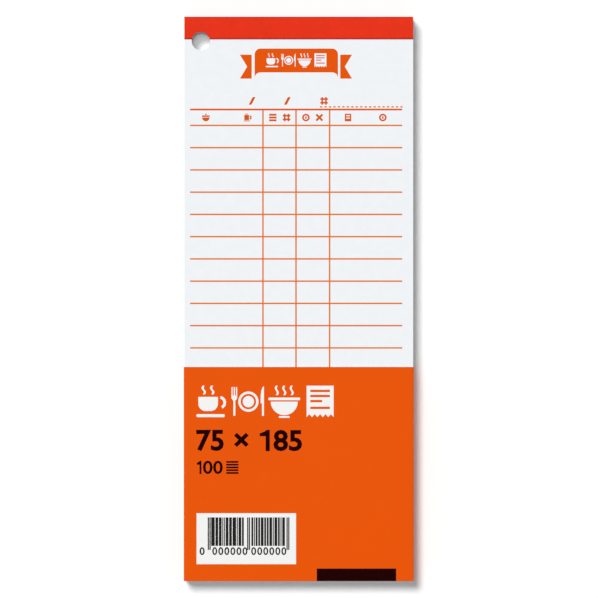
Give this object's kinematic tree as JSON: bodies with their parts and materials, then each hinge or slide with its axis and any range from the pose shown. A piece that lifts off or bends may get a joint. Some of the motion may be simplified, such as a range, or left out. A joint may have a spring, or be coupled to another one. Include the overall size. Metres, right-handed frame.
{
  "type": "guest check pad",
  "caption": "Tall narrow pad of order sheets glued at the head on a board, with a folded binding tape, a hanging hole and a sliding belly band.",
  "frame": {"origin": "under the middle of the pad, on the surface that its back lies on", "axes": "+X across the pad to the reader's right, +Y to the bound head, +Z out of the top sheet"},
  "size_m": [0.0754, 0.185, 0.0103],
  "materials": {
    "sheet_paper": "smooth uncoated white writing paper, cool white, printed in orange",
    "band_paper": "orange printed paper, slight sheen",
    "binding_tape": "red paper-cloth binding tape, matt",
    "chipboard": "grey recycled chipboard",
    "padding_glue": "milky dried padding glue"
  },
  "bodies": {
    "pad": {"binding_tape": "binding_tape", "head_glue": "padding_glue", "backing_board": "chipboard", "bound_heads": "sheet_paper", "lower_sheets": "sheet_paper", "check_sheet_21": "sheet_paper", "check_sheet_22": "sheet_paper", "check_sheet_23": "sheet_paper", "check_sheet_24": "sheet_paper", "check_sheet_25": "sheet_paper", "check_sheet_26": "sheet_paper", "check_sheet_27": "sheet_paper", "check_sheet_28": "sheet_paper", "check_sheet_29": "sheet_paper", "check_sheet_30": "sheet_paper", "check_sheet_31": "sheet_paper", "check_sheet_32": "sheet_paper", "check_sheet_33": "sheet_paper", "check_sheet_34": "sheet_paper", "check_sheet_35": "sheet_paper", "check_sheet_36": "sheet_paper", "check_sheet_37": "sheet_paper", "check_sheet_38": "sheet_paper", "check_sheet_39": "sheet_paper", "check_sheet_40": "sheet_paper", "check_sheet_41": "sheet_paper", "check_sheet_42": "sheet_paper", "check_sheet_43": "sheet_paper", "check_sheet_44": "sheet_paper", "check_sheet_45": "sheet_paper", "check_sheet_46": "sheet_paper", "check_sheet_47": "sheet_paper", "check_sheet_48": "sheet_paper", "check_sheet_49": "sheet_paper", "check_sheet_50": "sheet_paper", "check_sheet_51": "sheet_paper", "check_sheet_52": "sheet_paper", "check_sheet_53": "sheet_paper"},
    "band": {"belly_band": "band_paper", "band_seam_glue": "padding_glue"},
    "sheet_01": {"check_sheet_01": "sheet_paper"},
    "sheet_02": {"check_sheet_02": "sheet_paper"},
    "sheet_03": {"check_sheet_03": "sheet_paper"},
    "sheet_04": {"check_sheet_04": "sheet_paper"},
    "sheet_05": {"check_sheet_05": "sheet_paper"},
    "sheet_06": {"check_sheet_06": "sheet_paper"},
    "sheet_07": {"check_sheet_07": "sheet_paper"},
    "sheet_08": {"check_sheet_08": "sheet_paper"},
    "sheet_09": {"check_sheet_09": "sheet_paper"},
    "sheet_10": {"check_sheet_10": "sheet_paper"},
    "sheet_11": {"check_sheet_11": "sheet_paper"},
    "sheet_12": {"check_sheet_12": "sheet_paper"},
    "sheet_13": {"check_sheet_13": "sheet_paper"},
    "sheet_14": {"check_sheet_14": "sheet_paper"},
    "sheet_15": {"check_sheet_15": "sheet_paper"},
    "sheet_16": {"check_sheet_16": "sheet_paper"},
    "sheet_17": {"check_sheet_17": "sheet_paper"},
    "sheet_18": {"check_sheet_18": "sheet_paper"},
    "sheet_19": {"check_sheet_19": "sheet_paper"},
    "sheet_20": {"check_sheet_20": "sheet_paper"}
  },
  "joints": [
    {"name": "band_slide", "type": "slide", "parent": "pad", "child": "band", "axis": [0, -1, 0], "range_m": [0, 0.09]},
    {"name": "sheet_01_tear", "type": "slide", "parent": "sheet_02", "child": "sheet_01", "axis": [0, -1, 0], "range_m": [0, 0.19]},
    {"name": "sheet_02_turn", "type": "hinge", "parent": "pad", "child": "sheet_02", "pos_m": [0, 0.08514, 0.0103], "axis": [-1, 0, 0], "range_deg": [0, 178]},
    {"name": "sheet_03_turn", "type": "hinge", "parent": "pad", "child": "sheet_03", "pos_m": [0, 0.08514, 0.0103], "axis": [-1, 0, 0], "range_deg": [0, 178]},
    {"name": "sheet_04_turn", "type": "hinge", "parent": "pad", "child": "sheet_04", "pos_m": [0, 0.08514, 0.0103], "axis": [-1, 0, 0], "range_deg": [0, 178]},
    {"name": "sheet_05_turn", "type": "hinge", "parent": "pad", "child": "sheet_05", "pos_m": [0, 0.08514, 0.0103], "axis": [-1, 0, 0], "range_deg": [0, 178]},
    {"name": "sheet_06_turn", "type": "hinge", "parent": "pad", "child": "sheet_06", "pos_m": [0, 0.08514, 0.0103], "axis": [-1, 0, 0], "range_deg": [0, 178]},
    {"name": "sheet_07_turn", "type": "hinge", "parent": "pad", "child": "sheet_07", "pos_m": [0, 0.08514, 0.0103], "axis": [-1, 0, 0], "range_deg": [0, 178]},
    {"name": "sheet_08_turn", "type": "hinge", "parent": "pad", "child": "sheet_08", "pos_m": [0, 0.08514, 0.0103], "axis": [-1, 0, 0], "range_deg": [0, 178]},
    {"name": "sheet_09_turn", "type": "hinge", "parent": "pad", "child": "sheet_09", "pos_m": [0, 0.08514, 0.0103], "axis": [-1, 0, 0], "range_deg": [0, 178]},
    {"name": "sheet_10_turn", "type": "hinge", "parent": "pad", "child": "sheet_10", "pos_m": [0, 0.08514, 0.0103], "axis": [-1, 0, 0], "range_deg": [0, 178]},
    {"name": "sheet_11_turn", "type": "hinge", "parent": "pad", "child": "sheet_11", "pos_m": [0, 0.08514, 0.0103], "axis": [-1, 0, 0], "range_deg": [0, 178]},
    {"name": "sheet_12_turn", "type": "hinge", "parent": "pad", "child": "sheet_12", "pos_m": [0, 0.08514, 0.0103], "axis": [-1, 0, 0], "range_deg": [0, 178]},
    {"name": "sheet_13_turn", "type": "hinge", "parent": "pad", "child": "sheet_13", "pos_m": [0, 0.08514, 0.0103], "axis": [-1, 0, 0], "range_deg": [0, 178]},
    {"name": "sheet_14_turn", "type": "hinge", "parent": "pad", "child": "sheet_14", "pos_m": [0, 0.08514, 0.0103], "axis": [-1, 0, 0], "range_deg": [0, 178]},
    {"name": "sheet_15_turn", "type": "hinge", "parent": "pad", "child": "sheet_15", "pos_m": [0, 0.08514, 0.0103], "axis": [-1, 0, 0], "range_deg": [0, 178]},
    {"name": "sheet_16_turn", "type": "hinge", "parent": "pad", "child": "sheet_16", "pos_m": [0, 0.08514, 0.0103], "axis": [-1, 0, 0], "range_deg": [0, 178]},
    {"name": "sheet_17_turn", "type": "hinge", "parent": "pad", "child": "sheet_17", "pos_m": [0, 0.08514, 0.0103], "axis": [-1, 0, 0], "range_deg": [0, 178]},
    {"name": "sheet_18_turn", "type": "hinge", "parent": "pad", "child": "sheet_18", "pos_m": [0, 0.08514, 0.0103], "axis": [-1, 0, 0], "range_deg": [0, 178]},
    {"name": "sheet_19_turn", "type": "hinge", "parent": "pad", "child": "sheet_19", "pos_m": [0, 0.08514, 0.0103], "axis": [-1, 0, 0], "range_deg": [0, 178]},
    {"name": "sheet_20_turn", "type": "hinge", "parent": "pad", "child": "sheet_20", "pos_m": [0, 0.08514, 0.0103], "axis": [-1, 0, 0], "range_deg": [0, 178]}
  ],
  "couplings": [
    {"joint": "sheet_03_turn", "follows": "sheet_02_turn", "ratio": 0.994},
    {"joint": "sheet_04_turn", "follows": "sheet_02_turn", "ratio": 0.988},
    {"joint": "sheet_05_turn", "follows": "sheet_02_turn", "ratio": 0.982},
    {"joint": "sheet_06_turn", "follows": "sheet_02_turn", "ratio": 0.976},
    {"joint": "sheet_07_turn", "follows": "sheet_02_turn", "ratio": 0.97},
    {"joint": "sheet_08_turn", "follows": "sheet_02_turn", "ratio": 0.964},
    {"joint": "sheet_09_turn", "follows": "sheet_02_turn", "ratio": 0.958},
    {"joint": "sheet_10_turn", "follows": "sheet_02_turn", "ratio": 0.952},
    {"joint": "sheet_11_turn", "follows": "sheet_02_turn", "ratio": 0.946},
    {"joint": "sheet_12_turn", "follows": "sheet_02_turn", "ratio": 0.94},
    {"joint": "sheet_13_turn", "follows": "sheet_02_turn", "ratio": 0.934},
    {"joint": "sheet_14_turn", "follows": "sheet_02_turn", "ratio": 0.928},
    {"joint": "sheet_15_turn", "follows": "sheet_02_turn", "ratio": 0.922},
    {"joint": "sheet_16_turn", "follows": "sheet_02_turn", "ratio": 0.916},
    {"joint": "sheet_17_turn", "follows": "sheet_02_turn", "ratio": 0.91},
    {"joint": "sheet_18_turn", "follows": "sheet_02_turn", "ratio": 0.904},
    {"joint": "sheet_19_turn", "follows": "sheet_02_turn", "ratio": 0.898},
    {"joint": "sheet_20_turn", "follows": "sheet_02_turn", "ratio": 0.892}
  ]
}
